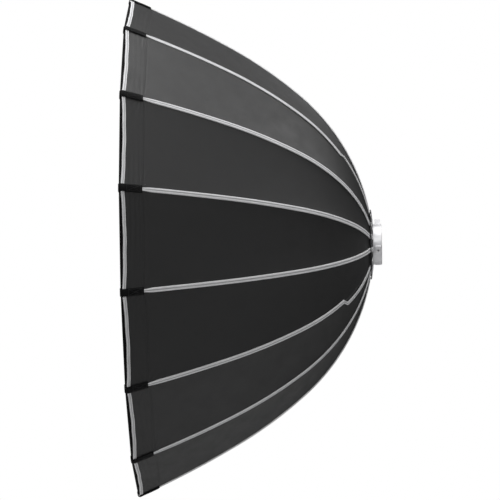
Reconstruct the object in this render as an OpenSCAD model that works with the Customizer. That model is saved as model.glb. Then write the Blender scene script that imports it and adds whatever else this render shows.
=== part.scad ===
// Deep parabolic softbox with sixteen folding ribs on a quick-release hub.
// The optical axis lies along X: the lamp's mount points to +X and the open front to -X.
// The origin is the centre of the mount ring's rear face, on the optical axis.

/* [Shell] */
// Radius of the front rim, measured to the rib seams
rim_r = 600; // [450:5:650]
// Distance from the front rim back to the mount ring's rear face
rim_depth = 584; // [575:1:600]
// Slope of the shell against the axis at the front rim, in degrees
rim_slope = 23.5; // [22:0.1:25]
// Radii of the three arcs that the shell's rib line is made of, front to back
arc_r = [2200, 1015, 504]; // [400:1:2400]
// Angle that each of these arcs turns through, in degrees
arc_turn = [6.8, 11.2, 38]; // [5:0.1:45]
// Number of ribs
rib_count = 16; // [16]
// Angle of the first rib above the horizontal, seen from the side
rib_phase = 10.5; // [0:0.5:22.5]
// Thickness of the panel cloth as a solid
cloth = 1.2; // [0.8:0.1:1.5]
// Half of the gap left between two panels at their seam
seam_gap = 0.6; // [0.4:0.1:1]

/* [Ribs] */
// Radius of the glass-fibre rod
rod_r = 2.5; // [2:0.1:3]
// Depth of the rod's centre line under the panel seam
rod_inset = 8; // [7.5:0.1:9]
// Arc angle left free between the rim and the rod's front end
rod_start = 0.4; // [0.3:0.05:0.6]
// Radius of the moulded cap on the rod's front end
cap_r = 4.5; // [3.5:0.1:5]
// Length of that cap
cap_length = 18; // [14:1:24]

/* [Hub] */
// Distance of the rib pivots from the optical axis
pivot_r = 62; // [62]
// Distance of the rib pivots in front of the mount ring's rear face
pivot_depth = 41; // [41]
// Width of a knuckle along its pin
knuckle_w = 10; // [8:0.5:10.5]
// Clearance on each side of a knuckle in its slot
slot_gap = 0.3; // [0.2:0.05:0.5]
// Radius of a hinge pin
pin_r = 2; // [1.5:0.1:2.2]
// Running clearance round a hinge pin
pin_gap = 0.05; // [0.03:0.01:0.1]
// Distance from a rib pivot to the centre of the knuckle's nose
nose_reach = 12; // [12]
// Radius of that nose
nose_r = 2.5; // [2.2:0.1:2.6]
// Angle through which the ribs fold
fold_angle = 44; // [40:0.5:44]
// Outer radius of the hub body
hub_r = 76; // [74:0.5:77]
// Clear radius through the hub body
hub_bore_r = 42.5; // [41:0.5:43]

/* [Lamp mount] */
// Outer radius of the mount ring's spigot
ring_r = 49; // [49]
// Bore radius of the mount ring
ring_bore_r = 43.5; // [43.5]
// Radius to the tips of the three bayonet lugs
lug_r = 61; // [61]
// Length of a lug along the axis
lug_length = 12.5; // [12.5]
// Width of a lug
lug_w = 20; // [20]
// Distance of the lugs from the ring's rear face
lug_rear = 3; // [3]
// Radius of the locking hole in a lug
lug_hole_r = 2.6; // [2.6]
// Angle of the first lug above the horizontal, seen from the side
lug_phase = -17; // [-60:1:60]

/* [Release buttons] */
// Radius of a button's plunger
plunger_r = 3.5; // [3:0.1:3.8]
// Travel of a button
button_travel = 3; // [2:0.5:4]

/* [Front diffuser] */
// Thickness of the diffuser cloth as a solid
diffuser_cloth = 1; // [0.8:0.1:1.5]
// Depth of the hem along the axis
hem_depth = 6.5; // [5:0.5:9]

/* [Hidden] */
$fn = 48;
step = 360 / rib_count;
half = step / 2;
rib_ids = [for (i = [1 : rib_count]) i];
function numbered(stem, i) = str(stem, i < 10 ? "_0" : "_", i);

// Rib line: heading is its slope at each joint of two arcs, knot that joint, centre an arc's centre.
function heading(k) = k == 0 ? rim_slope : heading(k - 1) + arc_turn[k - 1];
function unit(a) = [sin(a), cos(a)];
function knot(k) = k == 0 ? [-rim_depth, rim_r]
    : knot(k - 1) + arc_r[k - 1] * (unit(heading(k)) - unit(heading(k - 1)));
function centre(k) = knot(k) - arc_r[k] * unit(heading(k));
arcs = len(arc_r);
arc_steps = [4, 4, 12];

// Stations along the rib line as [arc, slope], from the rim back to the hub.
stations = concat([[0, rim_slope]], [for (k = [0 : arcs - 1], n = [1 : arc_steps[k]])
    [k, heading(k) + arc_turn[k] * n / arc_steps[k]]]);
function on_rib_line(s, inset) = centre(s[0]) + (arc_r[s[0]] - inset) * unit(s[1]);

// Knuckle: the rod's rear end, and the slope there.
rod_end = centre(arcs - 1) + (arc_r[arcs - 1] - rod_inset) * unit(heading(arcs));
rod_slope = heading(arcs);
pivot = [-pivot_depth, pivot_r];
nose_lean = fold_angle / 2;
nose = pivot - nose_reach * unit(nose_lean);
barrel_r = 5.5;
socket_r = rod_r + 0.2;
socket_length = 24;
socket_floor = 0.02;
socket_angle = 3;
web_w = 3;

// Hub body along X, from the plate's rear face to the front of the blocks.
plate_rear = -27;
plate_t = 3.5;
block_front = -pivot_depth - barrel_r - 0.7;
spigot_plate_r = 60;
spigot_plate_t = 2;
bead_front = -22.6;
bead_h = 1.6;
block_inner_r = 55;
slot_w = knuckle_w + 2 * slot_gap;
guide_r = 44.5;
guide_front = -61;
pin_length = slot_w + 9;

// Slide ring: a sleeve on the guide, with two flanges round the knuckles' noses.
sleeve_gap = 0.1;
sleeve_r = 47.1;
flange_r = 52.5;
flange_t = 2;
groove = 2 * nose_r + 0.6;
grip_front = -66;
grip_t = 4;

// Cover ring, buttons, collar.
cover_inner_r = 53.2;
cover_r = 61;
cover_t = 2.2;
cover_screw_r = 58.2;
screw_r = 1.5;
screw_head_r = 2.7;
screw_head_t = 1.5;
thread_gap = 0.1;
button_r = 70;
button_angle = rib_phase + 3 * step + half;
button_front = -57;
plunger_rear = -43;
spring_front = plunger_rear + 0.2;
bore_rear = -34;
collar_r = 84;
collar_t = 1.2;
ring_screw_r = 57;
screw_count = rib_count / 2;

// Turns its children from the XZ plane to the angle a above the horizontal.
module at_angle(a) rotate([90 - a, 0, 0]) children();
function rib_angle(i) = rib_phase + step * (i - 1);
function block_angle(k) = rib_phase + half + 2 * step * k;

// Lays an outline drawn as [x, radius] in the XZ plane, w thick.
module in_plane(w) rotate([90, 0, 0]) linear_extrude(w, center = true) children();

// Spins an outline drawn as [radius, x] about the optical axis.
module about_axis() rotate([0, 90, 0]) rotate_extrude($fn = 96) children();

module along_x(x0, x1, r) translate([x0, 0, 0]) rotate([0, 90, 0]) cylinder(r = r, h = x1 - x0);

// ---- fixed parts ----
module lug() intersection() {
    along_x(-lug_rear - lug_length, -lug_rear, lug_r);
    translate([-rim_depth / 2, -lug_w / 2, (ring_bore_r + ring_r) / 2]) cube([rim_depth, lug_w, lug_r]);
}

module mount_ring() color("gainsboro") {
    seat = plate_rear + spigot_plate_t;
    chamfer = 1;
    difference() {
        union() {
            about_axis() polygon([
                [ring_bore_r, plate_rear], [spigot_plate_r, plate_rear], [spigot_plate_r, seat],
                [ring_r + bead_h, seat], [ring_r + bead_h, bead_front], [ring_r, bead_front + bead_h / 3],
                [ring_r, -chamfer], [ring_r - chamfer, 0], [ring_bore_r, 0]]);
            for (k = [0 : 2]) at_angle(lug_phase + 120 * k) lug();
        }
        for (k = [0 : 2]) at_angle(lug_phase + 120 * k)
            translate([-lug_rear - lug_length / 2, 0, ring_r]) cylinder(r = lug_hole_r, h = lug_r);
        at_screws(ring_screw_r) along_x(plate_rear - 1, seat + 1, screw_r + 2 * thread_gap);
    }
}

// Puts its children at each block between two ribs that takes a screw.
module at_screws(r) for (k = [0 : screw_count - 1]) at_angle(block_angle(k)) translate([0, 0, r]) children();

// A screw with its head against x, on the +X side where head_side is 1, and its shank on the other.
module screw(x, head_side, shank) {
    head_x = head_side > 0 ? x : x - screw_head_t;
    along_x(head_x, head_x + screw_head_t, screw_head_r);
    shank_x = head_side > 0 ? x - shank : x;
    along_x(shank_x, shank_x + shank, screw_r);
}

module ring_screws() color("silver") at_screws(ring_screw_r) screw(plate_rear + spigot_plate_t, 1, 5);

module hub_body() color("#3a3a3c") {
    difference() {
        union() {
            about_axis() polygon([
                [hub_bore_r, guide_front], [guide_r, guide_front], [guide_r, plate_rear - plate_t],
                [hub_r, plate_rear - plate_t], [hub_r, plate_rear], [hub_bore_r, plate_rear]]);
            about_axis() translate([block_inner_r, block_front])
                square([hub_r - block_inner_r, plate_rear - plate_t - block_front]);
        }
        for (i = rib_ids) at_angle(rib_angle(i)) {
            translate([block_front - 1, -slot_w / 2, block_inner_r - 2])
                cube([plate_rear - plate_t - block_front + 1, slot_w, hub_r]);
            translate([pivot[0], 0, pivot[1]]) rotate([90, 0, 0])
                cylinder(r = pin_r + pin_gap, h = pin_length + 0.4, center = true);
        }
        at_screws(ring_screw_r) along_x(plate_rear - plate_t - 1, plate_rear + 1, screw_r + thread_gap);
        at_screws(cover_screw_r) along_x(block_front - 1, block_front + 5.2, screw_r + thread_gap);
        for (side = [0, 180]) at_angle(button_angle + side)
            translate([0, 0, button_r]) along_x(block_front - 1, bore_rear, plunger_r + 0.2);
    }
}

module hinge_pins() color("silver")
    for (i = rib_ids) at_angle(rib_angle(i)) translate([pivot[0], 0, pivot[1]])
        rotate([90, 0, 0]) cylinder(r = pin_r, h = pin_length, center = true);

module hub_cover() color("#2a2a2c") difference() {
    about_axis() translate([cover_inner_r, block_front - cover_t]) square([cover_r - cover_inner_r, cover_t]);
    at_screws(cover_screw_r) along_x(block_front - cover_t - 1, block_front + 1, screw_r + thread_gap);
}

module cover_screws() color("silver") at_screws(cover_screw_r) screw(block_front - cover_t, -1, 7);

// Cloth collar: its front face clears the ring screws' heads, the hub's edge and the panels.
module rear_collar() color("#1c1c1e") {
    front = [[ring_r + 2, plate_rear + 4], [spigot_plate_r + 1, plate_rear + 3.9], [hub_r, plate_rear + 1.4],
             [collar_r, plate_rear - 1.4]];
    rear = [for (k = [len(front) - 1 : -1 : 0]) front[k] + [0, collar_t]];
    about_axis() polygon(concat(front, rear));
}

// ---- moving parts ----
module slide_ring() color("#4a4a4d") about_axis()
    let (mid = nose[0], g = groove / 2, f = groove / 2 + flange_t)
    polygon([
        [guide_r + sleeve_gap, grip_front], [sleeve_r + 4, grip_front], [sleeve_r + 4, grip_front + grip_t],
        [sleeve_r, grip_front + grip_t], [sleeve_r, mid - f], [flange_r, mid - f], [flange_r, mid - g],
        [sleeve_r, mid - g], [sleeve_r, mid + g], [flange_r, mid + g], [flange_r, mid + f],
        [guide_r + sleeve_gap, mid + f]]);

module release_button(side) color("#b02020") at_angle(button_angle + side) translate([0, 0, button_r]) {
    along_x(button_front, button_front + 2.5, plunger_r + 1.5);
    along_x(button_front + 2.4, plunger_rear, plunger_r);
}

// One coil spring: a wire of radius w swept along a helix of radius r from x0 to x1.
module coil(x0, x1, r, w, turns) {
    per_turn = 10;
    sides = 6;
    rings = turns * per_turn;
    points = [for (n = [0 : rings], s = [0 : sides - 1])
        let (a = 360 * n / per_turn, b = 360 * s / sides, q = r + w * cos(b))
        [x0 + (x1 - x0) * n / rings + w * sin(b), q * sin(a), q * cos(a)]];
    sides_faces = [for (n = [0 : rings - 1], s = [0 : sides - 1])
        let (p = n * sides + s, q = n * sides + (s + 1) % sides) [p, q, q + sides, p + sides]];
    ends = [[for (s = [sides - 1 : -1 : 0]) s], [for (s = [0 : sides - 1]) rings * sides + s]];
    polyhedron(points, concat(sides_faces, ends), convexity = 6);
}

module button_springs() color("silver") for (side = [0, 180]) at_angle(button_angle + side)
    translate([0, 0, button_r]) coil(spring_front + 0.5, bore_rear - 0.6, 2.6, 0.4, 4);

module rib(i) at_angle(rib_angle(i)) {
    color("#e6e6e0") union() for (k = [0 : arcs - 1]) {
        from = k == 0 ? rod_start : 0;
        translate([centre(k)[0], 0, centre(k)[1]]) rotate([90, 0, 0]) rotate([0, 0, 90 - heading(k + 1)])
            rotate_extrude(angle = arc_turn[k] - from) translate([arc_r[k] - rod_inset, 0]) circle(rod_r);
    }
    cap_at = centre(0) + (arc_r[0] - rod_inset) * unit(rim_slope + rod_start);
    color("#151516") translate([cap_at[0], 0, cap_at[1]]) rotate([0, 90 + rim_slope + rod_start, 0])
        difference() {
            union() {
                translate([0, 0, -cap_length + 10]) cylinder(r = cap_r, h = cap_length - 10 + 4);
                translate([0, 0, 4]) cylinder(r = cap_r - 1, h = 4);
            }
            translate([0, 0, -cap_length]) cylinder(r = rod_r + 0.1, h = cap_length + 0.2);
        }
}

module knuckle(i) color("#303033") at_angle(rib_angle(i)) difference() {
    union() {
        in_plane(knuckle_w) {
            translate(pivot) circle(barrel_r);
            polygon([pivot + [-barrel_r, 0], pivot + [barrel_r * 0.6, -barrel_r * 0.8],
                     rod_end + [5, -6], rod_end + [4.6, 2], rod_end + [-6, 4]]);
            translate(rod_end) rotate(180 - rod_slope) translate([-4, -knuckle_w / 2])
                square([socket_length + 4, knuckle_w]);
            translate(pivot) rotate(-90 - nose_lean) translate([0, -web_w / 2]) square([nose_reach, web_w]);
            translate(nose) circle(nose_r);
        }
    }
    translate([pivot[0], 0, pivot[1]]) rotate([90, 0, 0])
        cylinder(r = pin_r + pin_gap, h = knuckle_w + 2, center = true);
    translate([centre(arcs - 1)[0], 0, centre(arcs - 1)[1]]) rotate([90, 0, 0])
        rotate([0, 0, 90 - rod_slope - socket_floor]) rotate_extrude(angle = socket_angle + socket_floor)
            translate([arc_r[arcs - 1] - rod_inset, 0]) circle(socket_r);
}

function corner(s, inset, side) = let (p = on_rib_line(s, inset))
    [p[0], side * (p[1] * sin(half) - seam_gap), p[1] * cos(half)];

// Cloth panel between rib i and the next: flat across, and curved along the ribs.
module panel(i) color("#2b2b2d") at_angle(rib_angle(i) + half) {
    n = len(stations);
    points = [for (s = stations) each [
        corner(s, 0, -1), corner(s, 0, 1), corner(s, cloth, 1), corner(s, cloth, -1)]];
    skin = [for (k = [0 : n - 2], c = [0 : 3])
        let (a = 4 * k + c, b = 4 * k + (c + 1) % 4) each [[a, b, b + 4], [a, b + 4, a + 4]]];
    last = 4 * (n - 1);
    polyhedron(points, concat(skin, [[3, 2, 1, 0], [last, last + 1, last + 2, last + 3]]), convexity = 4);
}

function ring_points(r) = [for (i = rib_ids) r * [cos(rib_angle(i) - 90), -sin(rib_angle(i) - 90)]];

module front_diffuser() color("whitesmoke") {
    hem_rear = -rim_depth - 0.6;
    hem_front = hem_rear - hem_depth;
    rotate([0, 90, 0]) rotate([0, 0, 90]) {
        translate([0, 0, hem_front]) linear_extrude(diffuser_cloth) polygon(ring_points(rim_r));
        translate([0, 0, hem_front + diffuser_cloth]) linear_extrude(hem_depth - diffuser_cloth)
            difference() {
                polygon(ring_points(rim_r));
                polygon(ring_points(rim_r - 2));
            }
    }
}

mount_ring();
ring_screws();
hub_body();
hinge_pins();
slide_ring();
hub_cover();
cover_screws();
release_button(0);  // release_button_top
release_button(180);  // release_button_bottom
button_springs();
rear_collar();
front_diffuser();
for (i = rib_ids) {
    rib(i);
    knuckle(i);
    panel(i);
}
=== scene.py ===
import math

import bpy
import numpy as np
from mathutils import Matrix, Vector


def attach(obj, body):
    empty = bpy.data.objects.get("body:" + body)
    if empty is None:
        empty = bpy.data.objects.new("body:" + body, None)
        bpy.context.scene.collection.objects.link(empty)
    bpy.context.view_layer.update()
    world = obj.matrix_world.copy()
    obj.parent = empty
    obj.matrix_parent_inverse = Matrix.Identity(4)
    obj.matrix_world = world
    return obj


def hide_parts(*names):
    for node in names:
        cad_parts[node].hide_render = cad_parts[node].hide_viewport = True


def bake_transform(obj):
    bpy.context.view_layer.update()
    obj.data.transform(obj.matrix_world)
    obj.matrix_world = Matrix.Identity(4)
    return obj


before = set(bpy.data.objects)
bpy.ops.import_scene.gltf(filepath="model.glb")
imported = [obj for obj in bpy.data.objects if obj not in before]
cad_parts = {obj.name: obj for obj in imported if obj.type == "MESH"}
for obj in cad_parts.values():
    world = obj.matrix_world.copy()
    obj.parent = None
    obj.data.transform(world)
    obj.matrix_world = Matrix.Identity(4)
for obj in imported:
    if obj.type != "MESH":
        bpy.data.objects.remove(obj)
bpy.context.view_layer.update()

# ---------------------------------------------------------------------------------------------
# Lamp mount: a ring turned from aluminium, bead-blasted and clear anodised, with three bayonet
# lugs milled from its front plate. Steel countersunk screws hold it on the hub.

ALUMINIUM = (0.88, 0.88, 0.89, 1)
ALUMINIUM_DULL = (0.78, 0.78, 0.80, 1)
ZINC = (0.60, 0.61, 0.63, 1)
ZINC_DULL = (0.42, 0.43, 0.45, 1)


def put(tree, kind, inputs=None, **attributes):
    """A new node, its settings, and its inputs as values or as links."""
    made = tree.nodes.new(kind)
    for name, value in attributes.items():
        setattr(made, name, value)
    for name, value in (inputs or {}).items():
        if isinstance(value, bpy.types.NodeSocket):
            tree.links.new(value, made.inputs[name])
        else:
            made.inputs[name].default_value = value
    return made


def sums(tree, operation, *values):
    return put(tree, "ShaderNodeMath", dict(enumerate(values)), operation=operation).outputs[0]


def effect(name, inputs, outputs):
    """A shader node group with named inputs and outputs: its tree, input and output sockets."""
    tree = bpy.data.node_groups.new(name, "ShaderNodeTree")
    for label, value in inputs.items():
        kind = "Vector" if value is None else "Color" if hasattr(value, "__len__") else "Float"
        socket = tree.interface.new_socket(label, in_out="INPUT", socket_type="NodeSocket" + kind)
        if value is not None:
            socket.default_value = value
    for label, kind in outputs.items():
        tree.interface.new_socket(label, in_out="OUTPUT", socket_type="NodeSocket" + kind)
    given = tree.nodes.new("NodeGroupInput").outputs
    return tree, given, tree.nodes.new("NodeGroupOutput").inputs


# Uneven finish: cloudy change of colour and of roughness over the surface.
UNEVEN, given, out = effect(
    "uneven finish",
    {"Vector": None, "Size": 0.02, "Colour": ALUMINIUM, "Worn Colour": ALUMINIUM_DULL,
     "Smoothest": 0.3, "Roughest": 0.4},
    {"Colour": "Color", "Roughness": "Float", "Cloud": "Float"})
clouds = put(UNEVEN, "ShaderNodeTexNoise",
             {"Vector": given["Vector"], "Scale": sums(UNEVEN, "DIVIDE", 1.0, given["Size"]),
              "Detail": 5.0, "Roughness": 0.62})
spread = put(UNEVEN, "ShaderNodeMapRange",
             {"Value": clouds.outputs[0], "From Min": 0.3, "From Max": 0.7})
mixed = put(UNEVEN, "ShaderNodeMix",
            {0: spread.outputs[0], 6: given["Colour"], 7: given["Worn Colour"]}, data_type="RGBA")
rough = put(UNEVEN, "ShaderNodeMapRange",
            {"Value": spread.outputs[0], "To Min": given["Smoothest"], "To Max": given["Roughest"]})
for label, socket in (("Colour", mixed.outputs[2]), ("Roughness", rough.outputs[0]),
                      ("Cloud", spread.outputs[0])):
    UNEVEN.links.new(socket, out[label])

# Turning lines: fine grooves that run round the optical axis, as a lathe tool leaves them.
TURNED, given, out = effect("turning lines", {"Vector": None, "Pitch": 0.0004},
                            {"Height": "Float"})
apart = put(TURNED, "ShaderNodeSeparateXYZ", {0: given["Vector"]})
radius = sums(TURNED, "SQRT", sums(TURNED, "ADD", sums(TURNED, "POWER", apart.outputs[1], 2.0),
                                   sums(TURNED, "POWER", apart.outputs[2], 2.0)))
across = put(TURNED, "ShaderNodeCombineXYZ", {0: apart.outputs[0], 1: radius})
lines = put(TURNED, "ShaderNodeTexNoise",
            {"Vector": across.outputs[0], "Scale": sums(TURNED, "DIVIDE", 1.0, given["Pitch"]),
             "Detail": 3.0, "Roughness": 0.7})
TURNED.links.new(lines.outputs[0], out["Height"])

# Fine grain: the frosted surface of a moulding or of a blasted casting.
GRAIN, given, out = effect("fine grain", {"Vector": None, "Size": 0.0006},
                           {"Height": "Float"})
speckle = put(GRAIN, "ShaderNodeTexNoise",
              {"Vector": given["Vector"], "Scale": sums(GRAIN, "DIVIDE", 1.0, given["Size"]),
               "Detail": 2.0, "Roughness": 0.5})
GRAIN.links.new(speckle.outputs[0], out["Height"])


def finish(name, colour, worn, size, smoothest, roughest, metallic=0.0, relief=GRAIN,
           relief_size=0.0006, relief_depth=0.00003, uv=None, **shader):
    """A finish of the uneven colour and one relief effect: the material, its tree and shader."""
    made = bpy.data.materials.new(name)
    made.use_nodes = True
    tree = made.node_tree
    principled = tree.nodes["Principled BSDF"]
    if uv:
        place = put(tree, "ShaderNodeUVMap", uv_map=uv).outputs[0]
    else:
        place = put(tree, "ShaderNodeTexCoord").outputs["Object"]
    uneven = put(tree, "ShaderNodeGroup", node_tree=UNEVEN)
    for label, value in (("Size", size), ("Colour", colour), ("Worn Colour", worn),
                         ("Smoothest", smoothest), ("Roughest", roughest)):
        uneven.inputs[label].default_value = value
    tree.links.new(place, uneven.inputs["Vector"])
    tree.links.new(uneven.outputs["Colour"], principled.inputs["Base Color"])
    tree.links.new(uneven.outputs["Roughness"], principled.inputs["Roughness"])
    raised = put(tree, "ShaderNodeGroup", node_tree=relief)
    tree.links.new(place, raised.inputs["Vector"])
    raised.inputs[1].default_value = relief_size
    bump = put(tree, "ShaderNodeBump",
               {"Height": raised.outputs["Height"], "Distance": relief_depth, "Strength": 1.0})
    tree.links.new(bump.outputs[0], principled.inputs["Normal"])
    principled.inputs["Metallic"].default_value = metallic
    for label, value in shader.items():
        principled.inputs[label.replace("_", " ")].default_value = value
    return made, tree, principled


def paint_nodes(made, *names):
    for name in names:
        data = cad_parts[name].data
        for k in range(len(data.materials)):
            data.materials[k] = made


aluminium, _, _ = finish("satin aluminium", ALUMINIUM, ALUMINIUM_DULL, 0.03, 0.42, 0.54,
                         metallic=0.6, relief=TURNED, relief_size=0.0005, relief_depth=0.00002)
zinc, _, _ = finish("zinc-plated steel", ZINC, ZINC_DULL, 0.004, 0.28, 0.45, metallic=1.0)
paint_nodes(aluminium, "mount_ring")
paint_nodes(zinc, "ring_screws")

# ---------------------------------------------------------------------------------------------
# Hub: a body and a cover ring moulded in glass-filled nylon, with a slide ring between them that
# the ribs' knuckles push. Steel pins carry the knuckles, and two sprung red buttons free the ring.

NYLON = (0.020, 0.020, 0.022, 1)
NYLON_WORN = (0.036, 0.036, 0.038, 1)
GREY_NYLON = (0.085, 0.086, 0.09, 1)
GREY_NYLON_WORN = (0.12, 0.12, 0.125, 1)
RED = (0.42, 0.018, 0.018, 1)
RED_WORN = (0.33, 0.02, 0.02, 1)

nylon, _, _ = finish("black glass-filled nylon", NYLON, NYLON_WORN, 0.012, 0.42, 0.58)
grey_nylon, _, _ = finish("grey nylon", GREY_NYLON, GREY_NYLON_WORN, 0.01, 0.38, 0.55)
red_plastic, _, _ = finish("red plastic", RED, RED_WORN, 0.003, 0.3, 0.42, relief_depth=0.00001)
paint_nodes(nylon, "hub_body", "hub_cover")
paint_nodes(grey_nylon, "slide_ring")
paint_nodes(zinc, "hinge_pins", "cover_screws", "button_springs")
paint_nodes(red_plastic, "release_button_top", "release_button_bottom")

# ---------------------------------------------------------------------------------------------
# Ribs: sixteen pulled glass-fibre rods, each glued in a moulded knuckle at the hub and tipped with
# a moulded cap. The pulling leaves fine streaks along a rod.

RIBS = 16
CAP_REAR = -0.5655
FIBRE = (0.74, 0.74, 0.70, 1)
FIBRE_WORN = (0.60, 0.61, 0.58, 1)
FIBRE_STREAK = (0.52, 0.53, 0.50, 1)


def cloudy_colour(tree):
    """The colour that a finish's uneven effect gives."""
    uneven = next(n for n in tree.nodes
                  if n.bl_idname == "ShaderNodeGroup" and n.node_tree == UNEVEN)
    return uneven.outputs["Colour"]


fibre, tree, principled = finish("pulled glass fibre", FIBRE, FIBRE_WORN, 0.02, 0.32, 0.5,
                                 relief_size=0.0005, relief_depth=0.00001)
place = put(tree, "ShaderNodeTexCoord").outputs["Object"]
streaks = put(tree, "ShaderNodeTexNoise",
              {"Vector": put(tree, "ShaderNodeMapping", {0: place, 3: (4, 260, 260)}).outputs[0],
               "Scale": 6.0, "Detail": 3.0})
streaked = put(tree, "ShaderNodeMix",
               {0: streaks.outputs[0], 6: cloudy_colour(tree), 7: FIBRE_STREAK}, data_type="RGBA")
apart = put(tree, "ShaderNodeSeparateXYZ", {0: place})
is_cap = sums(tree, "LESS_THAN", apart.outputs[0], CAP_REAR)
capped = put(tree, "ShaderNodeMix", {0: is_cap, 6: streaked.outputs[2], 7: NYLON},
             data_type="RGBA")
tree.links.new(capped.outputs[2], principled.inputs["Base Color"])
for i in range(1, RIBS + 1):
    paint_nodes(fibre, f"rib_{i:02d}")
    paint_nodes(nylon, f"knuckle_{i:02d}")

# ---------------------------------------------------------------------------------------------
# Shell cloth: sixteen gores of black coated nylon, silver on the inside, sewn along the ribs. Each
# is drawn tight between two ribs, so it dishes in a little, and it carries a doubled lip in front.

RIM_R, RIM_X = 0.600, -0.584
ARC_R = np.array([2.200, 1.015, 0.504])
ARC_TURN = np.radians([6.8, 11.2, 38.0])
HEADING = np.radians(23.5) + np.concatenate([[0], np.cumsum(ARC_TURN)])
ARC_START = np.concatenate([[0], np.cumsum(ARC_R * ARC_TURN)])
SHELL_LENGTH = float(ARC_START[-1])
FIRST_RIB = 10.5
HALF = math.pi / RIBS
CLOTH_T = 0.0005
FRONT_EDGE, LIP = -0.003, 0.0485
RIM_BOW, BOW_REACH = 0.0022, 0.13
BLACK_CLOTH = (0.0075, 0.0075, 0.0078, 1)
BLACK_CLOTH_WORN = (0.0105, 0.0105, 0.0108, 1)
SILVER_CLOTH = (0.62, 0.62, 0.63, 1)
SILVER_WORN = (0.54, 0.54, 0.56, 1)

knots, centres = [np.array([RIM_X, RIM_R])], []
for k, turn_radius in enumerate(ARC_R):
    a, b = HEADING[k], HEADING[k + 1]
    centres.append(knots[-1] - turn_radius * np.array([math.sin(a), math.cos(a)]))
    knots.append(centres[-1] + turn_radius * np.array([math.sin(b), math.cos(b)]))
centres = np.array(centres)


def rib_line(s, inset=0.0):
    """x, radius and slope at the distance s behind the rim, at a depth under the seam."""
    s = np.asarray(s, float)
    k = np.clip(np.searchsorted(ARC_START, s, side="right") - 1, 0, len(ARC_R) - 1)
    slope = HEADING[k] + (s - ARC_START[k]) / ARC_R[k]
    reach = ARC_R[k] - inset
    return centres[k, 0] + reach * np.sin(slope), centres[k, 1] + reach * np.cos(slope), slope


def rib_angle(i):
    return math.radians(FIRST_RIB) + 2 * HALF * (i - 1)


def outward(angle):
    return np.array([0, -math.cos(angle), math.sin(angle)])


def sideways(angle):
    return np.array([0, math.sin(angle), math.cos(angle)])


def vec(x, direction, amount):
    """Points x along the axis and amount along a direction square to it."""
    along = np.asarray(x)[..., None] * np.array([1.0, 0, 0])
    return along + np.asarray(amount)[..., None] * direction


def chord(s):
    return 2 * rib_line(s)[1] * math.sin(HALF)


def flat_gore(i, u, s):
    """The flat gore between rib i and the next: u from 0 to 1 across it, s back from the rim."""
    x, r, _ = rib_line(s)
    middle = rib_angle(i) + HALF
    across = ((u - 0.5) * chord(s))[..., None] * sideways(middle)
    return vec(x, outward(middle), r * math.cos(HALF)) + across


def gore_normal(i, s):
    _, _, slope = rib_line(s)
    n = vec(np.sin(slope) * math.cos(HALF), outward(rib_angle(i) + HALF), np.cos(slope))
    return n / np.linalg.norm(n, axis=-1, keepdims=True)


def new_mesh(name, points, faces, uvs=None, smooth=True):
    data = bpy.data.meshes.new(name)
    data.from_pydata([tuple(p) for p in np.asarray(points).reshape(-1, 3)], [], faces)
    if uvs is not None:
        corner = np.zeros(len(data.loops), np.int32)
        data.loops.foreach_get("vertex_index", corner)
        layer = data.uv_layers.new(name="cloth")
        layer.data.foreach_set("uv", np.asarray(uvs, np.float32).reshape(-1, 2)[corner].ravel())
    if smooth:
        data.shade_smooth()
    made = bpy.data.objects.new(name, data)
    bpy.context.scene.collection.objects.link(made)
    return made


def grid_faces(rows, cols, closed=False):
    """Quads of a grid, row by row, with its last column joined to the first where closed."""
    wide = cols if closed else cols - 1
    return [(r * cols + c, r * cols + (c + 1) % cols,
             (r + 1) * cols + (c + 1) % cols, (r + 1) * cols + c)
            for r in range(rows - 1) for c in range(wide)]


def drape(points, faces, held, shrink, frames=24):
    """Where a sheet of cloth settles when the held points stay: one displacement for each point."""
    sheet = new_mesh("draping", points, faces, smooth=False)
    pins = sheet.vertex_groups.new(name="held")
    pins.add([int(n) for n in np.flatnonzero(held)], 1.0, "REPLACE")
    cloth = sheet.modifiers.new("Cloth", "CLOTH")
    cloth.settings.vertex_group_mass = "held"
    cloth.settings.quality = 6
    cloth.settings.mass = 0.12
    cloth.settings.tension_stiffness = cloth.settings.compression_stiffness = 40
    cloth.settings.shear_stiffness = 12
    cloth.settings.bending_stiffness = 0.4
    cloth.settings.shrink_min = shrink
    cloth.collision_settings.use_collision = False
    cloth.point_cache.frame_start, cloth.point_cache.frame_end = 1, frames
    for n in range(1, frames + 1):
        bpy.context.scene.frame_set(n)
    settled = sheet.evaluated_get(bpy.context.evaluated_depsgraph_get()).to_mesh()
    co = np.zeros(len(settled.vertices) * 3, np.float32)
    settled.vertices.foreach_get("co", co)
    bpy.context.scene.frame_set(1)
    data = sheet.data
    bpy.data.objects.remove(sheet)
    bpy.data.meshes.remove(data)
    return co.reshape(-1, 3) - np.asarray(points).reshape(-1, 3)


def limited(moved, deepest):
    """Displacements eased so that none is longer than the deepest."""
    size = np.linalg.norm(moved, axis=1, keepdims=True)
    return moved * deepest * np.tanh(size / deepest) / np.maximum(size, 1e-9)


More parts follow.
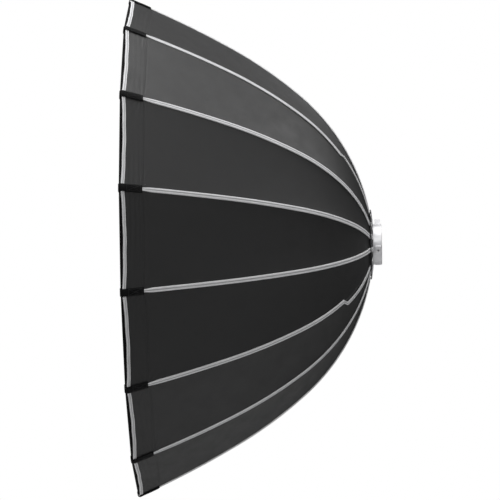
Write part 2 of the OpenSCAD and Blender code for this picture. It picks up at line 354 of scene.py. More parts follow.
SIM_ROWS, SIM_COLS, DEEPEST, TAUT = 50, 12, 0.010, 0.008
sag = np.zeros((RIBS, SIM_ROWS, SIM_COLS + 1, 3))
s_rows = np.linspace(0, SHELL_LENGTH, SIM_ROWS)
u_cols = np.arange(SIM_COLS) / SIM_COLS
u, s = np.broadcast_arrays(u_cols, s_rows[:, None])
start = np.concatenate([flat_gore(i, u, s) for i in range(1, RIBS + 1)], axis=1)
held = np.zeros(start.shape[:2], bool)
held[:, ::SIM_COLS] = held[-1, :] = True
faces = grid_faces(SIM_ROWS, RIBS * SIM_COLS, closed=True)
moved = limited(drape(start, faces, held.ravel(), TAUT), DEEPEST)
moved = moved.reshape(SIM_ROWS, RIBS, SIM_COLS, 3).transpose(1, 0, 2, 3)
sag[:, :, :-1] = moved
sag[:, :, -1] = np.roll(moved, -1, axis=0)[:, :, 0]


def between(grid, row, col):
    """Smooth value of a grid of vectors at fractional rows and columns."""
    rows, cols = grid.shape[:2]
    total = 0.0
    r0, c0 = np.floor(row).astype(int), np.floor(col).astype(int)
    fr, fc = row - r0, col - c0

    def weights(f):
        return (((2 - f) * f - 1) * f / 2, ((3 * f - 5) * f * f + 2) / 2,
                ((4 - 3 * f) * f + 1) * f / 2, (f - 1) * f * f / 2)

    for a, wa in enumerate(weights(fr)):
        for b, wb in enumerate(weights(fc)):
            at = grid[np.clip(r0 + a - 1, 0, rows - 1), np.clip(c0 + b - 1, 0, cols - 1)]
            total = total + at * (wa * wb)[..., None]
    return total


chance = np.random.default_rng(16)
bow = RIM_BOW * chance.uniform(0.75, 1.15, RIBS)
lean = chance.uniform(-0.18, 0.18, RIBS)
fold_phase = chance.uniform(0, 2 * math.pi, (RIBS, 6))
fold_count = chance.uniform(15, 24, (RIBS, 2))


LIP_HIGH, SEAM_DEEP = 0.0006, 0.0005
LIP_SEAMS = (LIP - 0.0015, LIP + 0.0025)
RIPPLE_HIGH, RIPPLE_APART = 0.00028, 0.0125
FAN_HIGH, FAN_REACH = 0.0010, 0.028


def smooth_step(value, low, high):
    t = np.clip((value - low) / (high - low), 0, 1)
    return t * t * (3 - 2 * t)


def relief(i, u, s):
    """Height of lip, seam lines and folds over the plain cloth."""
    k = i - 1
    wide = chord(s)
    lip = LIP_HIGH * (1 - smooth_step(s, LIP - 0.001, LIP + 0.0015))
    for line in LIP_SEAMS:
        lip = lip - SEAM_DEEP * np.exp(-((s - line) / 0.0011) ** 2)
    phase = fold_phase[k]
    ripple = (np.sin(2 * math.pi * s / RIPPLE_APART + phase[0] + 2.2 * np.sin(2.4 * u + phase[1]))
              * (0.6 + 0.4 * np.sin(5 * u + phase[2])))
    front = smooth_step(s, 0.004, 0.012) * (1 - smooth_step(s, LIP - 0.012, LIP - 0.002))
    folds = RIPPLE_HIGH * ripple * front
    for side, count in ((0, fold_count[k, 0]), (1, fold_count[k, 1])):
        across = (u if side == 0 else 1 - u) * wide
        along = s - LIP * 0.9
        reach = np.hypot(across, along)
        turn = np.arctan2(along, across + 0.004)
        fan = np.sin(count * turn + phase[3 + side]) * np.exp(-reach / FAN_REACH)
        folds = folds + FAN_HIGH * fan * smooth_step(reach, 0.004, 0.02)
    return lip + folds


def gore(i, u, s, lift=0.0):
    """A point on the finished gore, lift above its cloth. Its front bows back between two ribs."""
    u, s = np.broadcast_arrays(np.asarray(u, float), np.asarray(s, float))
    k = i - 1
    hang = 4 * u * (1 - u) * (1 + lean[k] * (2 * u - 1)) * bow[k]
    at = s + hang * np.clip(1 - s / BOW_REACH, 0, 1) ** 2
    moved = between(sag[k], at / SHELL_LENGTH * (SIM_ROWS - 1), u * SIM_COLS)
    normal = gore_normal(i, at)
    return flat_gore(i, u, at) + moved + (relief(i, u, s) + lift)[..., None] * normal


def spread_over_gore(made, i, edge=0.0055):
    middle = rib_angle(i) + HALF
    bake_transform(made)
    co = np.zeros(len(made.data.vertices) * 3, np.float32)
    made.data.vertices.foreach_get("co", co)
    co = co.reshape(-1, 3)
    wide = 2 * (co @ outward(middle)) * math.tan(HALF)
    share = (co @ sideways(middle) + wide / 2 - edge) / (wide - 2 * edge)
    share = np.clip(share, 0, 1).astype(np.float32)


# Plain weave: threads that pass over and under each other, in metres on the cloth's own map.
WEAVE, given, out = effect("plain weave", {"Vector": None, "Thread": 0.0006},
                           {"Height": "Float"})
apart = put(WEAVE, "ShaderNodeSeparateXYZ", {0: given["Vector"]})
turns = [sums(WEAVE, "MULTIPLY", sums(WEAVE, "DIVIDE", apart.outputs[n], given["Thread"]), math.pi)
         for n in (0, 1)]
over = sums(WEAVE, "MULTIPLY", sums(WEAVE, "SINE", turns[0]), sums(WEAVE, "SINE", turns[1]))
ridge = [sums(WEAVE, "ABSOLUTE", sums(WEAVE, "SINE", t)) for t in turns]
warp = sums(WEAVE, "MULTIPLY", ridge[0], sums(WEAVE, "ADD", over, 1.0))
weft = sums(WEAVE, "MULTIPLY", ridge[1], sums(WEAVE, "SUBTRACT", 1.0, over))
WEAVE.links.new(sums(WEAVE, "MULTIPLY", sums(WEAVE, "MAXIMUM", warp, weft), 0.5), out["Height"])

black_cloth, _, _ = finish(
    "black coated nylon cloth", BLACK_CLOTH, BLACK_CLOTH_WORN, 0.05, 0.50, 0.62, relief=WEAVE,
    relief_size=0.0006, relief_depth=0.00006, uv="cloth", Specular_IOR_Level=0.55)
silver_cloth, _, _ = finish(
    "silver coated cloth", SILVER_CLOTH, SILVER_WORN, 0.03, 0.36, 0.5, metallic=0.75,
    relief=WEAVE, relief_size=0.0006, relief_depth=0.00008, uv="cloth")

# Rows and columns of a gore's mesh: close together over the lip and beside the seams.
LIP_END, FINE, COARSE = 0.075, 0.0015, 0.0055
ROWS = np.unique(np.round(np.concatenate([
    np.arange(FRONT_EDGE, LIP_END, FINE), np.arange(LIP_END, SHELL_LENGTH - 0.004, COARSE),
    [SHELL_LENGTH]]), 6))
COLS = np.linspace(0, 1, 33)
COLS -= 0.11 * np.sin(2 * math.pi * COLS)
for i in range(1, RIBS + 1):
    u, s = np.broadcast_arrays(COLS, ROWS[:, None])
    outside = gore(i, u, s)
    inside = gore(i, u, s, -CLOTH_T)
    rows, cols = s.shape
    count = rows * cols
    skin = [f[::-1] for f in grid_faces(rows, cols)]
    lining = [tuple(n + count for n in f) for f in grid_faces(rows, cols)]
    ring = ([(0, c) for c in range(cols)] + [(r, cols - 1) for r in range(1, rows)]
            + [(rows - 1, c) for c in range(cols - 2, -1, -1)]
            + [(r, 0) for r in range(rows - 2, 0, -1)])
    ring = [r * cols + c for r, c in ring]
    edge = [(a, b, b + count, a + count) for a, b in zip(ring, ring[1:] + ring[:1])]
    uv = np.stack([(u - 0.5) * chord(s), s], -1)
    made = new_mesh(f"gore_{i:02d}", np.stack([outside, inside]), skin + lining + edge,
                    np.stack([uv, uv]))
    made.data.materials.append(black_cloth)
    made.data.materials.append(silver_cloth)
    made.data.polygons.foreach_set(
        "material_index", [0] * len(skin) + [1] * len(lining) + [0] * len(edge))
    spread_over_gore(made, i)
    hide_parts(f"panel_{i:02d}")

# ---------------------------------------------------------------------------------------------
# Stitching: bonded nylon thread, black round the lip and pale in the trims. One running stitch is
# a short fat grain of thread that lies along its seam line.

BLACK_THREAD, BLACK_THREAD_WORN = (0.010, 0.010, 0.011, 1), (0.02, 0.02, 0.02, 1)
PALE_THREAD, PALE_THREAD_WORN = (0.42, 0.42, 0.43, 1), (0.36, 0.36, 0.37, 1)

STITCH = bpy.data.node_groups.new("running stitch", "GeometryNodeTree")
for label, kind in (("Geometry", "Geometry"), ("Pitch", "Float"), ("Length", "Float"),
                    ("Thickness", "Float"), ("Thread", "Material")):
    STITCH.interface.new_socket(label, in_out="INPUT", socket_type="NodeSocket" + kind)
STITCH.interface.new_socket("Geometry", in_out="OUTPUT", socket_type="NodeSocketGeometry")
given = STITCH.nodes.new("NodeGroupInput").outputs
out = STITCH.nodes.new("NodeGroupOutput").inputs
line = put(STITCH, "GeometryNodeMeshToCurve", {"Mesh": given["Geometry"]})
dots = put(STITCH, "GeometryNodeCurveToPoints",
           {"Curve": line.outputs[0], "Length": given["Pitch"]}, mode="LENGTH")
turned = put(STITCH, "FunctionNodeAlignRotationToVector",
             {"Vector": dots.outputs["Tangent"]}, axis="X")
ball = put(STITCH, "GeometryNodeMeshUVSphere", {"Segments": 6, "Rings": 4, "Radius": 0.5})
shape = put(STITCH, "ShaderNodeCombineXYZ",
            {0: given["Length"], 1: given["Thickness"], 2: given["Thickness"]})
grain = put(STITCH, "GeometryNodeTransform",
            {"Geometry": ball.outputs["Mesh"], "Scale": shape.outputs[0]})
laid = put(STITCH, "GeometryNodeInstanceOnPoints",
           {"Points": dots.outputs["Points"], "Instance": grain.outputs[0],
            "Rotation": turned.outputs[0]})
real = put(STITCH, "GeometryNodeRealizeInstances", {0: laid.outputs[0]})
threaded = put(STITCH, "GeometryNodeSetMaterial",
               {"Geometry": real.outputs[0], "Material": given["Thread"]})
STITCH.links.new(threaded.outputs[0], out[0])


def stitched(name, lines, thread, pitch=0.0036, length=0.0029, thickness=0.0008):
    """Running stitches along lines of points, as one plain mesh."""
    points, edges = [], []
    for line in lines:
        edges += [(len(points) + k, len(points) + k + 1) for k in range(len(line) - 1)]
        points += [tuple(p) for p in line]
    data = bpy.data.meshes.new(name)
    data.from_pydata(points, edges, [])
    made = bpy.data.objects.new(name, data)
    bpy.context.scene.collection.objects.link(made)
    modifier = made.modifiers.new("stitches", "NODES")
    modifier.node_group = STITCH
    sockets = {x.name: x.identifier for x in STITCH.interface.items_tree if x.in_out == "INPUT"}
    for label, value in (("Pitch", pitch), ("Length", length), ("Thickness", thickness),
                         ("Thread", thread)):
        modifier[sockets[label]] = value
    dg = bpy.context.evaluated_depsgraph_get()
    result = bpy.data.meshes.new_from_object(made.evaluated_get(dg), depsgraph=dg)
    made.modifiers.clear()
    made.data = result
    made.data.name = name
    made.data.shade_smooth()
    bpy.data.meshes.remove(data)
    return made


black_thread, _, _ = finish("black bonded thread", BLACK_THREAD, BLACK_THREAD_WORN, 0.004, 0.45,
                            0.6, relief_size=0.0003, relief_depth=0.00005)
pale_thread, _, _ = finish("pale bonded thread", PALE_THREAD, PALE_THREAD_WORN, 0.004, 0.5,
                           0.65, relief_size=0.0003, relief_depth=0.00005)
for i in range(1, RIBS + 1):
    u = np.linspace(0.03, 0.97, 60)
    rows = [gore(i, u, line, 0.0001) for line in LIP_SEAMS]
    made = stitched(f"lip_stitches_{i:02d}", rows, black_thread)
    spread_over_gore(made, i)

# ---------------------------------------------------------------------------------------------
# Seam tape: an 11 mm pale woven ribbon sewn over each seam from the pocket to the hub, with one row
# of stitches sunk in its middle. Where two cuts of cloth meet on the way it steps sideways.

TAPE_W, TAPE_T = 0.011, 0.0017
TAPE_FRONT, TAPE_REAR = 0.043, SHELL_LENGTH - 0.0006
STEPPED_RIBS = {3: 0.016, 7: -0.016, 11: 0.016, 15: -0.018}
STEP_IN, STEP_OUT = 0.234, 0.255
TAPE_PALE, TAPE_WORN = (0.80, 0.80, 0.81, 1), (0.72, 0.72, 0.73, 1)
# Grey painted down the tape's sunk middle as the shade of its stitched groove.
TAPE_GROOVE_SHADE = (0.50, 0.50, 0.51, 1)
NARROWED = 0.62


def swept(name, loops, uvs=None):
    """A closed solid through a row of closed loops that have the same number of points."""
    rows, cols = loops.shape[:2]
    skin = grid_faces(rows, cols, closed=True)
    ends = [tuple(range(cols - 1, -1, -1)), tuple(range((rows - 1) * cols, rows * cols))]
    made = new_mesh(name, loops, skin + ends, uvs)
    volume = 0.0
    co = np.asarray(loops, float).reshape(-1, 3)
    for f in skin:
        a, b, c, d = (co[n] for n in f)
        volume += np.dot(a, np.cross(b, c)) + np.dot(a, np.cross(c, d))
    if volume < 0:
        made.data.flip_normals()
    return made


def on_seam(i, s, aside, lift):
    """A point over the seam at rib i, aside of it along the cloth and lift above it."""
    s, aside, lift = np.broadcast_arrays(*(np.asarray(a, float) for a in (s, aside, lift)))
    x, r, slope = rib_line(s)
    angle = rib_angle(i)
    seam = vec(x, outward(angle), r)
    right, left = sideways(angle + HALF), sideways(angle - HALF)
    drift = np.where((aside > 0)[..., None], right, left) * aside[..., None]
    up = vec(np.sin(slope), outward(angle), np.cos(slope))
    return seam + drift + lift[..., None] * up


def tape_step(i, s):
    """How far the tape is aside of the seam: nothing, or one step where it is pieced."""
    r = rib_line(s)[1]
    nearer_hub = 0.7 + 0.3 * smooth_step(r, 0.08, 0.2)
    return STEPPED_RIBS.get(i, 0.0) * (1 - smooth_step(r, STEP_IN, STEP_OUT)) * nearer_hub


pale_tape, tree, principled = finish(
    "pale woven tape", TAPE_PALE, TAPE_WORN, 0.02, 0.55, 0.7, relief=WEAVE,
    relief_size=0.0005, relief_depth=0.0001, uv="cloth")
# Painted shade: a grey stripe down the sunk middle of the tape, where the groove and its stitches
# run. Rim bindings and collar tape ends get the same stripe through their maps.
place = put(tree, "ShaderNodeUVMap", uv_map="cloth").outputs[0]
off_middle = sums(tree, "ABSOLUTE", put(tree, "ShaderNodeSeparateXYZ", {0: place}).outputs[0])
painted_groove_shade = put(tree, "ShaderNodeMapRange", {"Value": off_middle, "From Min": 0.0011,
                                        "From Max": 0.0017, "To Min": 1.0, "To Max": 0.0})
tape_with_painted_shade = put(tree, "ShaderNodeMix",
              {0: painted_groove_shade.outputs[0], 6: cloudy_colour(tree), 7: TAPE_GROOVE_SHADE}, data_type="RGBA")
tree.links.new(tape_with_painted_shade.outputs[2], principled.inputs["Base Color"])

half_tape = np.array([-1, -0.93, -0.62, -0.28, -0.14, 0, 0.14, 0.28, 0.62, 0.93, 1])
tape_height = np.array([0.1, 0.85, 1.0, 0.95, 0.55, 0.45, 0.55, 0.95, 1.0, 0.85, 0.1])
across = np.concatenate([half_tape, half_tape[::-1]]) * TAPE_W / 2
height = np.concatenate([tape_height * TAPE_T, np.full(len(half_tape), -0.0001)])
for i in range(1, RIBS + 1):
    s = np.arange(TAPE_FRONT, TAPE_REAR, 0.004)
    narrow = NARROWED + (1 - NARROWED) * smooth_step(s, TAPE_FRONT, TAPE_FRONT + 0.03)
    aside = across * narrow[:, None] + tape_step(i, s)[:, None]
    uv = np.stack(np.broadcast_arrays(across, s[:, None]), -1)
    made = swept(f"seam_tape_{i:02d}", on_seam(i, s[:, None], aside, height), uv)
    made.data.materials.append(pale_tape)
    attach(made, f"rib_{i:02d}_arm")
    s = np.arange(TAPE_FRONT + 0.004, TAPE_REAR - 0.004, 0.003)
    made = stitched(f"tape_stitches_{i:02d}", [on_seam(i, s, tape_step(i, s), 0.0008)],
                    pale_thread, thickness=0.0009)
    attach(made, f"rib_{i:02d}_arm")

# ---------------------------------------------------------------------------------------------
# Rim binding: a pale tape folded over the raw front edge of each gore and sewn through with one row
# of stitches. It bows back with the cloth between the ribs.

BIND_W, BIND_T, BIND_SEAM = 0.0072, 0.0008, 0.0037
# Outline of the folded tape: distance behind the cloth's edge, and height over the cloth.
profile = [(BIND_W, 0.0002), (BIND_W - 0.0002, BIND_T), (0.0049, BIND_T * 1.05),
           (0.0041, BIND_T * 0.8), (0.0034, BIND_T * 0.8), (0.0026, BIND_T * 1.1),
           (0.0006, BIND_T * 1.15), (-0.0006, BIND_T * 0.8), (-0.0012, 0.0), (-0.0009, -0.0009),
           (0.0004, -0.0014), (BIND_W - 0.0004, -0.0013), (BIND_W, -0.0006)]
bindings, binding_stitches = {}, {}
for i in range(1, RIBS + 1):
    u = np.linspace(0.012, 0.988, 61)
    wave = 0.0004 * np.sin(2 * math.pi * u * 3.1 + fold_phase[i - 1, 0]) * np.sin(math.pi * u)
    loops = np.stack([gore(i, u, FRONT_EDGE + s + wave, lift) for s, lift in profile], axis=1)
    uv = np.stack(np.broadcast_arrays([s - BIND_SEAM for s, _ in profile],
                                      (u * 0.234)[:, None]), -1)
    made = swept(f"rim_binding_{i:02d}", loops, uv)
    made.data.materials.append(pale_tape)
    spread_over_gore(made, i)
    bindings[i] = made
    line = gore(i, u[1:-1], FRONT_EDGE + BIND_SEAM + wave[1:-1], BIND_T * 0.85)
    made = stitched(f"binding_stitches_{i:02d}", [line], pale_thread)
    spread_over_gore(made, i)
    binding_stitches[i] = made

# ---------------------------------------------------------------------------------------------
# Rib pockets: black polyester webbing folded over the rim at each rib, sewn down outside and inside
# with a box and a cross. The rod's cap sits in the fold.

STRAP_W, STRAP_T, STRAP_LONG = 0.0178, 0.0014, 0.047
WEBBING, WEBBING_WORN = (0.0040, 0.0040, 0.0043, 1), (0.006, 0.006, 0.0065, 1)
webbing, _, _ = finish(
    "black webbing", WEBBING, WEBBING_WORN, 0.01, 0.65, 0.8, relief=WEAVE, relief_size=0.0012,
    relief_depth=0.0003, uv="cloth", Specular_IOR_Level=0.12)
# Path of the strap's middle: distance behind the rim, and height over the seam.
fold = np.array([
    (STRAP_LONG, 0.0014), (0.0445, 0.0023), (0.038, 0.0026), (0.027, 0.0025), (0.015, 0.0025),
    (0.004, 0.0027), (0.0, 0.0028), (-0.004, 0.0024), (-0.0064, 0.0008), (-0.0072, -0.0020),
    (-0.0064, -0.0060), (-0.0050, -0.0100), (-0.0026, -0.0128), (0.0010, -0.0138),
    (0.010, -0.0138), (0.022, -0.0135), (0.030, -0.0125)])
STEPS_EACH = 8
count = STEPS_EACH * (len(fold) - 1) + 1
at = np.linspace(0, len(fold) - 1, count)
fold = between(np.stack([fold, fold]).transpose(1, 0, 2), at, np.zeros(count))
step = np.gradient(fold, axis=0)
step /= np.linalg.norm(step, axis=1, keepdims=True)
side = np.stack([-step[:, 1], step[:, 0]], 1)
run = np.concatenate([[0], np.cumsum(np.linalg.norm(np.diff(fold, axis=0), axis=1))])
edges = np.array([-1, -0.96, -0.5, 0, 0.5, 0.96, 1]) * STRAP_W / 2
bulge = np.array([0.35, 0.9, 1.0, 1.0, 1.0, 0.9, 0.35]) * STRAP_T / 2
aside = np.concatenate([edges, edges[::-1]])
thick = np.concatenate([bulge, -bulge[::-1]])
place_s = fold[:, 0, None] + side[:, 0, None] * thick
place_h = fold[:, 1, None] + side[:, 1, None] * thick
# Outside, the strap bends over the seam. Under the rim it runs straight across.
under = smooth_step(-fold[:, 1], -0.001, 0.008)[:, None, None]
uv = np.stack(np.broadcast_arrays(aside, run[:, None]), -1)
BOX_FRONT, BOX_REAR, BOX_HALF = 0.010, 0.042, STRAP_W / 2 - 0.002
STRAP_TOP = 0.0025 + STRAP_T / 2 + 0.0001
corners = [(BOX_FRONT, -BOX_HALF), (BOX_REAR, -BOX_HALF), (BOX_REAR, BOX_HALF),
           (BOX_FRONT, BOX_HALF)]
SEWN = [(0, 1), (1, 2), (2, 3), (3, 0), (0, 2), (1, 3)]
for i in range(1, RIBS + 1):
    bent = on_seam(i, place_s, aside, place_h)
    straight = on_seam(i, place_s, 0, place_h) + aside[:, None] * sideways(rib_angle(i))
    strap = swept(f"rib_pocket_{i:02d}", bent * (1 - under) + straight * under, uv)
    strap.data.materials.append(webbing)
    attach(strap, f"rib_{i:02d}_arm")
    rows = []
    for a, b in SEWN:
        s, t = np.linspace(corners[a], corners[b], 24).T
        rows.append(on_seam(i, s, t, STRAP_TOP))
    made = stitched(f"pocket_stitches_{i:02d}", rows, black_thread, pitch=0.0026, length=0.0021)
    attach(made, f"rib_{i:02d}_arm")

# ---------------------------------------------------------------------------------------------
# Rod keepers: short loops of black tape sewn to the inside of each seam, which hold the rod close
# under the cloth.

KEEPERS = (0.16, 0.30, 0.44, 0.57, 0.69)
KEEPER_HALF, KEEPER_R, KEEPER_T = 0.005, 0.0029, 0.0007
ROD_DEEP, TO_CLOTH = -0.008, 0.0042
keeper_turn = np.linspace(0, 2 * math.pi, 21)[:-1]
SECTION = ((-KEEPER_HALF, 0.0), (-KEEPER_HALF, KEEPER_T), (KEEPER_HALF, KEEPER_T),
           (KEEPER_HALF, 0.0))


def ring_faces(rows, cols):
    """Quads of a grid that is joined up both ways."""
    return grid_faces(rows, cols, closed=True) + [
        ((rows - 1) * cols + c, (rows - 1) * cols + (c + 1) % cols, (c + 1) % cols, c)
        for c in range(cols)]


for i in range(1, RIBS + 1):
    points, faces, uvs = [], [], []
    for s0 in KEEPERS:
        base = len(points)
        for along, swell in SECTION:
            radius = KEEPER_R + swell
            rise = np.maximum(np.cos(keeper_turn) - 0.2, 0) / 0.8
            high = ROD_DEEP + radius * np.cos(keeper_turn) + TO_CLOTH * rise
            ring = on_seam(i, s0 + along, 0, high)
            ring = ring + (radius * np.sin(keeper_turn))[:, None] * sideways(rib_angle(i))
            points += list(ring)
            uvs += [(t * 0.003, along) for t in keeper_turn]
        faces += [tuple(n + base for n in f) for f in ring_faces(len(SECTION), len(keeper_turn))]
    made = new_mesh(f"rod_keepers_{i:02d}", points, faces, np.array(uvs))
    made.data.materials.append(webbing)
    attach(made, f"rib_{i:02d}_arm")

# ---------------------------------------------------------------------------------------------
# Collar: a ring of the shell's cloth over the gores' ends, hand-gathered round the lamp mount, so
# its surface lies in soft uneven pleats.

COLLAR_T, PLEAT_IN, PLEAT_HIGH = 0.0009, 0.25, 0.8
collar_r = np.array([0.0506, 0.0525, 0.056, 0.060, 0.064, 0.069, 0.074, 0.0785, 0.082, 0.0842])
collar_x = np.interp(collar_r, [0.0506, 0.053, 0.060, 0.066, 0.076, 0.0842],
                     [-0.0216, -0.0219, -0.0222, -0.0236, -0.0247, -0.0258])
turns = np.linspace(0, 2 * math.pi, 257)[:-1]
wave = sum(a * np.sin(n * turns + p) for n, a, p in
           zip((3, 5, 9, 16, 23, 32), (0.0004, 0.0004, 0.0004, 0.0005, 0.0003, 0.0002),
               chance.uniform(0, 6.28, 6)))
reach = (1 + 0.012 * np.cos(RIBS * (turns - math.radians(FIRST_RIB)))
         + 0.008 * np.sin(3 * turns + 1.0))
grow = smooth_step(collar_r, 0.052, 0.080)
layers = []
for lift in (0.0, -COLLAR_T):
    r = collar_r[:, None] * (1 + grow[:, None] * (reach[None, :] - 1))
    x = collar_x[:, None] + wave[None, :] * (PLEAT_IN + grow[:, None]) * PLEAT_HIGH + lift
    layers.append(np.stack([x, -r * np.cos(turns), r * np.sin(turns)], -1))
loop = np.concatenate([layers[0], layers[1][::-1]])
collar = new_mesh("collar", loop, ring_faces(*loop.shape[:2]), loop[..., 1:])
collar.data.materials.append(black_cloth)
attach(collar, "root")
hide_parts("rear_collar")

# Short ends of the seam tapes, laid over the collar up to the mount ring.
TAPE_END = ((-0.5, 0.0), (-0.46, 0.0010), (0.46, 0.0010), (0.5, 0.0), (0.4, -0.0006),
            (-0.4, -0.0006))
spans = np.linspace(0.0515, 0.0838, 12)
m, n = len(TAPE_END), len(spans)
end_faces = grid_faces(n, m, closed=True) + [tuple(range(m - 1, -1, -1)),
                                             tuple(range((n - 1) * m, n * m))]
points, faces, uvs = [], [], []
for i in range(1, RIBS + 1):
    faces += [tuple(v + len(points) for v in f) for f in end_faces]
    for r, wide in zip(spans, np.linspace(NARROWED, 1, n)):
        low = np.interp(r, collar_r, collar_x) + 0.0002
        for off, lift in TAPE_END:
            turn = rib_angle(i) + off * TAPE_W * wide / r
            ripple = np.interp(turn % (2 * math.pi), turns, wave, period=2 * math.pi)
            ripple *= (PLEAT_IN + float(np.interp(r, collar_r, grow))) * PLEAT_HIGH
            points.append(np.array([low + lift + ripple, 0, 0]) + r * outward(turn))
            uvs.append((off * TAPE_W, r))
collar_tapes = new_mesh("collar_tapes", points, faces, np.array(uvs))
collar_tapes.data.materials.append(pale_tape)
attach(collar_tapes, "root")

# ---------------------------------------------------------------------------------------------
# Front diffuser: white ripstop cut as a sixteen-sided sheet, sewn into a black hem whose sleeve
# tucks inside the rim. The hem is notched at each rib, where the pocket's webbing passes.

HEM_FRONT, HEM_REAR, SLEEVE_REAR = -0.5915, -0.5868, -0.5690
HEM_INNER, NOTCH_HALF = 0.578, 0.0090
WHITE_CLOTH, WHITE_WORN = (0.86, 0.86, 0.85, 1), (0.82, 0.82, 0.81, 1)
# Outline of the hem: distance along the axis, and radius at a corner of the rim.
hem_profile = np.array([
    (HEM_FRONT, 0.5990), (HEM_FRONT + 0.0006, 0.5997), (HEM_REAR - 0.0004, 0.5997),
    (HEM_REAR, 0.5990), (HEM_REAR, 0.5965), (SLEEVE_REAR, 0.5890), (SLEEVE_REAR, 0.5878),
    (HEM_REAR - 0.0010, 0.5950), (HEM_FRONT + 0.0012, 0.5950), (HEM_FRONT + 0.0012, HEM_INNER),
    (HEM_FRONT, HEM_INNER)])
NOTCH_KEEP, NOTCH_EDGE = 0.36, 0.0008
side_length = 2 * RIM_R * math.sin(HALF)
notch_end = side_length - NOTCH_HALF
stops = np.concatenate([[0, NOTCH_HALF - NOTCH_EDGE], np.linspace(NOTCH_HALF, notch_end, 12),
                        [notch_end + NOTCH_EDGE]])
loops, uvs = [], []
for i in range(1, RIBS + 1):
    angle = rib_angle(i)
    for t in stops:
        notch = t < NOTCH_HALF - 1e-6 or t > notch_end + 1e-6
        x, r = hem_profile[:, 0], hem_profile[:, 1]
        if notch:
            r = HEM_INNER + (r - HEM_INNER) * NOTCH_KEEP
        share = t / side_length
        ray = (1 - share) * outward(angle) + share * outward(angle + 2 * HALF)
        loops.append(vec(x, ray, r))
        uvs.append(np.stack([np.arange(len(r)) * 0.004, np.full(len(r), i * 0.235 + t)], -1))
hem = new_mesh("diffuser_hem", loops, ring_faces(len(loops), len(hem_profile)), uvs,
               smooth=False)
hem.data.materials.append(webbing)
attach(hem, "diffuser")

SHEET_X, SHEET_R, SHEET_T = HEM_FRONT + 0.0018, 0.585, 0.0004
RINGS, PER_SIDE, BILLOW = 26, 8, 0.006
share = (np.arange(PER_SIDE) / PER_SIDE)[:, None]
outline = np.concatenate([
    (1 - share) * outward(rib_angle(i)) + share * outward(rib_angle(i + 1))
    for i in range(1, RIBS + 1)])
centre = np.array([[SHEET_X, 0, 0]])
fractions = np.linspace(0, 1, RINGS + 1)[1:, None, None]
sheet_points = np.concatenate(
    [centre, (fractions * outline * SHEET_R + centre).reshape(-1, 3)])
around = len(outline)
sheet_faces = [(0, 1 + c, 1 + (c + 1) % around) for c in range(around)]
sheet_faces += [tuple(n + 1 for n in f[::-1]) for f in grid_faces(RINGS, around, closed=True)]
held = np.arange(len(sheet_points)) > len(sheet_points) - 1 - 2 * around
sheet_points = sheet_points + limited(drape(sheet_points, sheet_faces, held, 0.0), BILLOW)
# Where the hem pulls at the ribs, shallow waves run in from the edge.
bays = np.arctan2(sheet_points[:, 2], -sheet_points[:, 1]) - math.radians(FIRST_RIB)
out_r = np.linalg.norm(sheet_points[:, 1:], axis=1)
pulled = smooth_step(out_r, 0.36, 0.52) * (1 - smooth_step(out_r, 0.54, 0.585))
sheet_points[:, 0] += 0.0014 * np.cos(RIBS * bays) * pulled
thick = np.array([SHEET_T, 0, 0])
both = np.stack([sheet_points, sheet_points + thick])
count = len(sheet_points)
last = [count - around + c for c in range(around)]
faces = (sheet_faces + [tuple(n + count for n in f[::-1]) for f in sheet_faces]
         + [(last[(c + 1) % around], last[c], last[c] + count, last[(c + 1) % around] + count)
            for c in range(around)])
diffuser_cloth, _, _ = finish(
    "white diffusing cloth", WHITE_CLOTH, WHITE_WORN, 0.06, 0.6, 0.75, relief=WEAVE,
    relief_size=0.0008, relief_depth=0.0001, uv="cloth")
diffuser = new_mesh("diffuser_cloth", both, faces, both[..., 1:])
diffuser.data.materials.append(diffuser_cloth)
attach(diffuser, "diffuser")
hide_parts("front_diffuser")

# ---------------------------------------------------------------------------------------------
# Studio: a round pale floor under the object, a white surround, broad soft lights over the object,
# behind it, in front and beside the mount, and a long lens a little below the optical axis.

FLOOR_Z, FLOOR_R, FLOOR_GLOW = -1.10, 4.0, 0.40
FLOOR, FLOOR_WORN = (0.70, 0.70, 0.70, 1), (0.67, 0.67, 0.67, 1)
turns = np.linspace(0, 2 * math.pi, 97)[:-1]
floor_points = [(FLOOR_R * math.cos(t) - 0.3, FLOOR_R * math.sin(t), FLOOR_Z) for t in turns]
floor = new_mesh("floor", floor_points, [tuple(range(len(turns)))], smooth=False)
floor_paint, tree, principled = finish("pale floor", FLOOR, FLOOR_WORN, 0.8, 0.55, 0.65,
                                       relief_depth=0.00001)
seen = put(tree, "ShaderNodeLightPath").outputs["Is Camera Ray"]
glow = put(tree, "ShaderNodeMapRange", {"Value": seen, "To Min": 0.0, "To Max": FLOOR_GLOW})
principled.inputs["Emission Color"].default_value = (1, 1, 1, 1)
tree.links.new(glow.outputs[0], principled.inputs["Emission Strength"])
floor.data.materials.append(floor_paint)

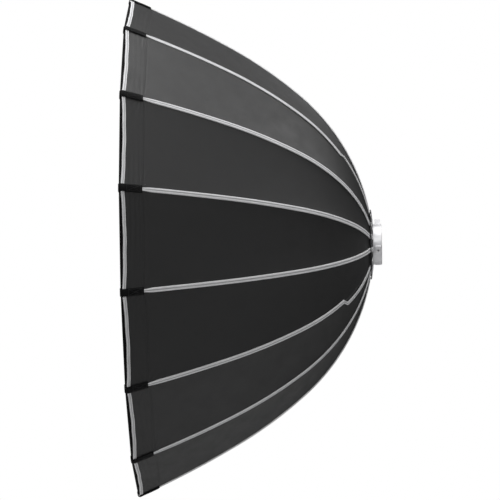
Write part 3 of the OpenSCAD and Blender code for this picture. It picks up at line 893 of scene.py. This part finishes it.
scene = bpy.context.scene
world = bpy.data.worlds.new("white surround")
scene.world = world
world.use_nodes = True
tree = world.node_tree
surround = tree.nodes["Background"]
seen = put(tree, "ShaderNodeLightPath").outputs["Is Camera Ray"]
strength = put(tree, "ShaderNodeMapRange", {"Value": seen, "To Min": 0.09, "To Max": 1.0})
surround.inputs["Color"].default_value = (1, 1, 1, 1)
tree.links.new(strength.outputs[0], surround.inputs["Strength"])


def area_light(name, watts, width, height, at, towards):
    data = bpy.data.lights.new(name, "AREA")
    data.shape, data.size, data.size_y, data.energy = "RECTANGLE", width, height, watts
    made = bpy.data.objects.new(name, data)
    made.location = at
    direction = Vector(towards) - Vector(at)
    made.rotation_euler = direction.to_track_quat("-Z", "Y").to_euler()
    scene.collection.objects.link(made)


area_light("overhead light", 48, 2.0, 2.0, (-0.3, -0.4, 2.4), (-0.3, 0, 0))
area_light("rear light", 18, 1.1, 1.1, (1.5, 1.0, 2.0), (-0.3, -0.2, 0.3))
area_light("front light", 25, 1.6, 1.6, (-0.3, -3.2, 1.4), (-0.3, 0, 0))
area_light("hub light", 11, 1.2, 1.2, (2.2, -1.4, 1.2), (-0.1, 0, 0))
area_light("floor bounce", 1.0, 1.2, 1.2, (-0.3, 0, -1.05), (-0.3, 0, 0))

LENS, DISTANCE = 209.2, 7.022
YAW, PITCH, ROLL = (math.radians(a) for a in (-1.516, -2.719, -1.073))
AIM = np.array([-0.3181, 0, -0.0076])
forward = np.array([math.sin(YAW) * math.cos(PITCH), math.cos(YAW) * math.cos(PITCH),
                    -math.sin(PITCH)])
level = np.array([math.cos(YAW), -math.sin(YAW), 0])
upright = np.cross(level, forward)
right = level * math.cos(ROLL) + upright * math.sin(ROLL)
up = -level * math.sin(ROLL) + upright * math.cos(ROLL)
camera = bpy.data.objects.new("camera", bpy.data.cameras.new("camera"))
camera.data.lens, camera.data.sensor_width = LENS, 36
camera.data.clip_start, camera.data.clip_end = 0.1, 60
place = AIM - forward * DISTANCE
camera.matrix_world = Matrix(
    [[right[n], up[n], -forward[n], place[n]] for n in range(3)] + [[0, 0, 0, 1]])
scene.collection.objects.link(camera)
scene.camera = camera
scene.view_settings.view_transform = "Standard"
